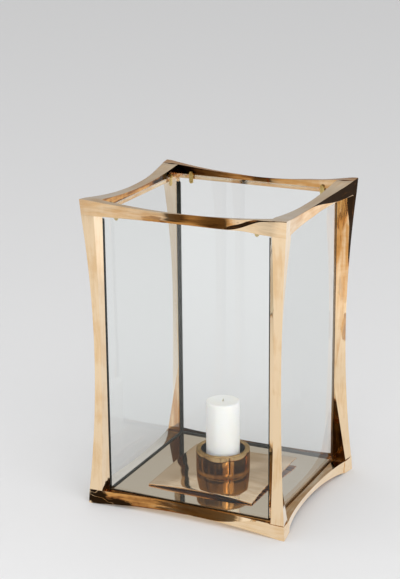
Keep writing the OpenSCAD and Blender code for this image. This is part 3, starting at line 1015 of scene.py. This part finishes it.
@dataclass(frozen=True)
class Tray:
    """The loose four-cornered tray, domed, with its back right corner bent up a little."""

    side: float = 232.0
    corner_z: float = 30.0
    rise: float = 9.0
    thick: float = 2.7
    draw_in: float = 3.0
    bend_from: float = 0.52
    lifted: float = 8.0
    edge_tint_shade: float = 1.15
    soft: float = 0.6
    cells: int = 56

    def top(self, x: float, y: float) -> float:
        """The height of the tray's top at a point, in millimetres."""
        reach = self.side / math.sqrt(2.0)
        radius = (reach**2 + self.rise**2) / (2.0 * self.rise)
        crown = self.corner_z + self.rise - (x * x + y * y) / (2.0 * radius)
        return crown + self.lifted * smooth((x + y) / self.side, self.bend_from, 1.0) ** 1.5

    def build(self, finishes: Finishes) -> None:
        """Builds and dresses the tray."""
        bm = bmesh.new()
        half = self.side / 2
        bmesh.ops.create_grid(bm, x_segments=self.cells, y_segments=self.cells, size=half * MM)
        for vert in bm.verts:
            x, y = vert.co.x / MM, vert.co.y / MM
            pull_x = 1.0 - self.draw_in / half * (1.0 - (y / half) ** 2)
            pull_y = 1.0 - self.draw_in / half * (1.0 - (x / half) ** 2)
            vert.co = Vector((x * pull_x, y * pull_y, self.top(x, y))) * MM
        bmesh.ops.recalc_face_normals(bm, faces=bm.faces)
        if sum(f.normal.z for f in bm.faces) < 0:
            bmesh.ops.reverse_faces(bm, faces=bm.faces)
        bmesh.ops.solidify(bm, geom=bm.faces[:], thickness=self.thick * MM)
        tint_shade = bm.faces.layers.float.new(TINT_AND_SHADE_LAYER)
        bm.normal_update()
        for face in bm.faces:
            # The edges and underside are painted dark brown as shade, for the dark gap under the
            # tray.
            face[tint_shade] = self.edge_tint_shade if face.normal.z < 0.6 else 0.0
        tray = finished(bm, "star_tray_sheet", "tray", ["star_tray"])
        round_edges(tray, self.soft)
        finishes.put(tray, Finish.TRAY)


@dataclass(frozen=True)
class Cup:
    """The heavy turned cup that holds the candle."""

    outer: float = 56.0
    bore: float = 45.5
    foot_z: float = 37.8
    floor_z: float = 40.2
    rim_z: float = 86.0
    soft: float = 1.4
    bore_tint_shade: float = 1.7
    sharp: float = 50.0

    def build(self, finishes: Finishes) -> None:
        """Builds and dresses the cup."""
        out, bore, soft = self.outer, self.bore, self.soft
        foot, floor, rim = self.foot_z, self.floor_z, self.rim_z
        profile = [
            (0.0, foot), (out - 0.6, foot), (out, foot + 0.6), (out, foot + 12.0),
            (out, rim - 12.0), (out, rim - soft), (out - 0.4, rim - 0.4), (out - soft, rim),
            (bore + soft, rim), (bore + 0.4, rim - 0.4), (bore, rim - soft), (bore, floor + 2.0),
            (bore - 0.6, floor + 0.6), (bore - 2.0, floor), (0.0, floor),
        ]
        bm = turned(profile)
        tint_shade = bm.faces.layers.float.new(TINT_AND_SHADE_LAYER)
        for face in bm.faces:
            middle = face.calc_center_median() / MM
            inside = middle.xy.length < bore + 0.2 and middle.z > foot + 1.0
            # The inside of the bore is painted dark as shade.
            face[tint_shade] = self.bore_tint_shade if inside else 0.0
        cup = finished(bm, "turned_cup", "tray", ["candle_cup"])
        cup.data.set_sharp_from_angle(angle=math.radians(self.sharp))
        finishes.put(cup, Finish.CUP)


@dataclass(frozen=True)
class Candle:
    """A white pillar candle with a softened rim, a slightly dished top and a short wick."""

    radius: float = 35.0
    foot_z: float = 40.5
    tall: float = 150.0
    wick_radius: float = 1.15
    wick_tall: float = 5.0
    wick_hidden: float = 6.0
    wick_lean: float = 1.6
    wick_twist: float = 0.5
    wick_rings: int = 12
    wick_sides: int = 10

    def build(self, finishes: Finishes) -> None:
        """Builds and dresses the candle and its wick."""
        top = self.foot_z + self.tall
        r = self.radius
        profile = [
            (0.0, self.foot_z), (r - 1.5, self.foot_z), (r, self.foot_z + 1.5),
            (r, self.foot_z + 40.0), (r, top - 60.0), (r, top - 3.0), (r - 0.3, top - 1.6),
            (r - 1.2, top - 0.5), (r - 2.6, top), (r - 6.0, top - 0.1), (18.0, top - 0.5),
            (6.0, top - 1.0), (2.0, top - 1.3), (0.0, top - 1.4),
        ]
        wax = finished(turned(profile), "pillar_wax", "pillar_candle", ["candle"])
        finishes.put(wax, Finish.WAX)
        rings = []
        for t in (i / self.wick_rings for i in range(self.wick_rings + 1)):
            z = top - self.wick_hidden + (self.wick_tall + 5.5) * t
            lean = self.wick_lean * t * t
            thick = self.wick_radius * (1.0 - 0.25 * smooth(t, 0.8, 1.0))
            ring = []
            for k in range(self.wick_sides):
                a = math.tau * k / self.wick_sides + self.wick_twist * t
                ring.append(Vector((lean + thick * math.cos(a), thick * math.sin(a), z)))
            rings.append(Section(ring))
        wick = finished(loft(rings), "braided_wick", "pillar_candle", ["wick"])
        finishes.put(wick, Finish.COTTON)


# ---- pieces kept from the solids ----


KEPT: dict[Finish, tuple[str, ...]] = {
    Finish.GLASS: ("pane_front", "pane_back", "pane_left", "pane_right"),
    Finish.RUBBER: ("glazing_bead_left", "glazing_bead_back", "corner_seal_"),
    Finish.BEAD: ("glazing_bead_front",),
    Finish.DUSTY: ("glazing_bead_right",),
    Finish.BRASS: ("clip_", "base_screws"),
    Finish.STEEL: ("corner_studs", "rail_dowels"),
    Finish.FLOOR: ("base_plate",),
}


def dress_kept(finishes: Finishes) -> None:
    """Puts each finish on the CAD nodes whose names begin with the listed words."""
    for name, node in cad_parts.items():
        for finish, starts in KEPT.items():
            if name.startswith(starts):
                finishes.put(node, finish)
                LOG.info("%s keeps its solid, in %s", name, finish.value)


# ---- studio ----


def mirrored(g: Graph) -> tuple[Sock, Sock, Sock]:
    """Tells reflections from what is seen directly or through the glass.

    Args:
        g: the graph to write in.

    Returns:
        A mask for what the metal shows, one for what the panes reflect, and one for what is seen
        after a second reflection in metal.
    """
    path = g.node("ShaderNodeLightPath", {})
    bounces = path.other("Glossy Depth")
    sharp = path.other("Is Singular Ray") * path.other("Is Reflection Ray")
    return g.maths("MINIMUM", bounces, 1.0), sharp, bounces.step(1.2, 1.8)


@dataclass(frozen=True)
class Studio:
    """Camera, lamps, floor and surroundings, in metres and degrees.

    The metal shows light above, a wall behind the lantern, and in front of it a dim room with
    things standing in it and a bright window. Everything else is lit evenly from all around.
    """

    eye: Colour = (1.2585, -2.7352, 1.3699)
    azimuth: float = 25.57
    pitch: float = 17.33
    roll: float = -0.54
    focal_px: float = 1563.9
    frame_px: tuple[int, int] = (400, 579)
    sensor: float = 36.0
    sight: float = 200.0
    floor_size: float = 60.0
    onward: tuple[float, float] = (-0.432, 0.902)
    eye_back: float = 3.01
    paper: float = 0.490
    paper_near: float = 0.85
    nearest: float = 2.1
    backdrop: float = 0.76
    floor_tint: Colour = (1.0, 0.985, 0.965)
    gleam_tint: Colour = (0.985, 1.0, 1.0)
    room_tint: Colour = (1.0, 0.80, 0.56)
    above: float = 0.92
    behind: float = 0.46
    room: float = 0.13
    things: float = 0.50
    wall_way: tuple[float, float] = (-0.43, 0.90)
    window_way: Colour = (0.68, -0.63, 0.37)
    glass_fade: float = 0.75

    def camera(self) -> None:
        """Sets the camera."""
        az, el, roll = (math.radians(a) for a in (self.azimuth, self.pitch, self.roll))
        forward = Vector(
            (-math.cos(el) * math.sin(az), math.cos(el) * math.cos(az), -math.sin(el))
        )
        right = forward.cross(Vector((0, 0, 1))).normalized()
        up = right.cross(forward)
        data = bpy.data.cameras.new("studio_camera")
        data.sensor_fit = "VERTICAL"
        data.sensor_height = self.sensor
        data.lens = self.focal_px / self.frame_px[1] * self.sensor
        data.clip_end = self.sight
        camera = placed("studio_camera", data)
        turn = Matrix((right, up, -forward)).transposed() @ Matrix.Rotation(roll, 3, "Z")
        camera.matrix_world = Matrix.Translation(Vector(self.eye)) @ turn.to_4x4()
        bpy.context.scene.camera = camera

    def floor(self) -> None:
        """Lays the floor: paper to the eye, and a glow of its own in metal and in glass."""
        bm = bmesh.new()
        bmesh.ops.create_grid(bm, x_segments=4, y_segments=4, size=self.floor_size / 2)
        mesh = bpy.data.meshes.new("studio_floor")
        bm.to_mesh(mesh)
        bm.free()
        floor = placed("studio_floor", mesh)
        material, g = new_material("studio_paper")
        x, y, _ = g.axes()
        far = g.length(g.place())
        metal, glass, deep = mirrored(g)
        lit = (x.step(-1.5, -0.5) * 0.30 + 0.50) * (far.step(0.5, 1.6) * 0.14 + 0.86)
        lit = lit + x.step(0.6, 1.3) * 0.22
        in_metal = g.emission(self.floor_tint, lit * far.step(9.5, 2.4) + self.room)
        gleam = (y.step(-0.3, -1.8) + 0.58) * (1.0 - deep * self.glass_fade)
        in_glass = g.emission(self.gleam_tint, gleam)
        distant = g.emission(WHITE, self.backdrop)
        laid = g.mix_shader(far.step(10.0, 24.0), self._paper(g, x, y), distant)
        g.surface(g.mix_shader(glass, g.mix_shader(metal, laid, in_metal), in_glass))
        mesh.materials.append(material)

    def _paper(self, g: Graph, x: Sock, y: Sock) -> Sock:
        """The shader of the white paper at x and y, with painted light that makes it a little
        lighter near the camera.
        """
        away = x * self.onward[0] + y * self.onward[1] + self.eye_back
        shade = g.maths("DIVIDE", self.paper_near, g.maths("MAXIMUM", away, self.nearest))
        value = (shade + self.paper) * (0.995 + g.noise(40.0, 3.0, 0.6) * 0.01)
        rgb = {0: value, 1: value, 2: value * 1.006}
        tone = g.node("ShaderNodeCombineColor", rgb)
        return g.node("ShaderNodeBsdfDiffuse", {"Color": tone})

    def surroundings(self) -> None:
        """Sets the world, which is even for the surfaces and a room for reflections."""
        world = bpy.data.worlds.new("studio_world")
        world.use_nodes = True
        bpy.context.scene.world = world
        g = Graph(world.node_tree)
        heading = g.node("ShaderNodeTexCoord", {}).other("Generated")
        x, y, z = g.axes(heading)
        behind = (x * self.wall_way[0] + y * self.wall_way[1]).step(0.35, 0.75)
        above = z.step(0.36, 0.66)
        tall = g.mapped(heading, (1.0, 1.0, 0.35))
        things = g.noise(4.5, 2.0, 0.5, tall).step(0.55, 0.62)
        facing = x * self.window_way[0] + y * self.window_way[1] + z * self.window_way[2]
        window = facing.step(0.90, 0.95) * things.step(-0.6, 1.0)
        around = behind * self.behind + (1.0 - behind) * (self.room + things * self.things)
        band = above * self.above + (1.0 - above) * around
        metal, glass, deep = mirrored(g)
        band = band * (1.0 - deep * 0.45) + window * (1.1 + deep * 1.3)
        faded = 1.0 - deep * self.glass_fade
        plain = self.backdrop * (1.0 - glass) + glass * faded
        in_metal = metal * (1.0 - glass)
        level = in_metal * band + (1.0 - in_metal) * plain
        indoors = (1.0 - above) * (1.0 - behind) * (1.0 - deep) + deep
        tone = g.mix(metal * indoors, WHITE, self.room_tint)
        light = g.node("ShaderNodeBackground", {"Color": tone, "Strength": level})
        g.surface(light, "ShaderNodeOutputWorld")

    def lamp(self, name: str, heading: Colour, power: float, spread: float) -> None:
        """Adds one wide, soft and even light that no reflection shows.

        Args:
            name: the light's name.
            heading: where it comes from, as seen from the lantern.
            power: its strength.
            spread: how wide it looks, in degrees.
        """
        data = bpy.data.lights.new(name, "SUN")
        data.energy = power
        data.angle = math.radians(spread)
        lamp = placed(name, data)
        lamp.location = heading
        lamp.rotation_euler = (-Vector(heading)).to_track_quat("-Z", "Y").to_euler()
        lamp.visible_glossy = False

    def build(self) -> None:
        """Sets up the whole studio."""
        self.camera()
        self.floor()
        self.surroundings()
        self.lamp("key_lamp", (2.6, -2.6, 1.25), 2.05, 84.0)
        self.lamp("fill_lamp", (-2.6, -0.9, 2.4), 0.25, 90.0)
        bpy.context.scene.view_settings.view_transform = "Standard"


def main() -> None:
    """Builds the lantern and its studio."""
    finishes = Finishes()
    dress_kept(finishes)
    LanternFrame().build(finishes)
    Tray().build(finishes)
    Cup().build(finishes)
    Candle().build(finishes)
    Studio().build()


if __name__ == "__main__":
    main()
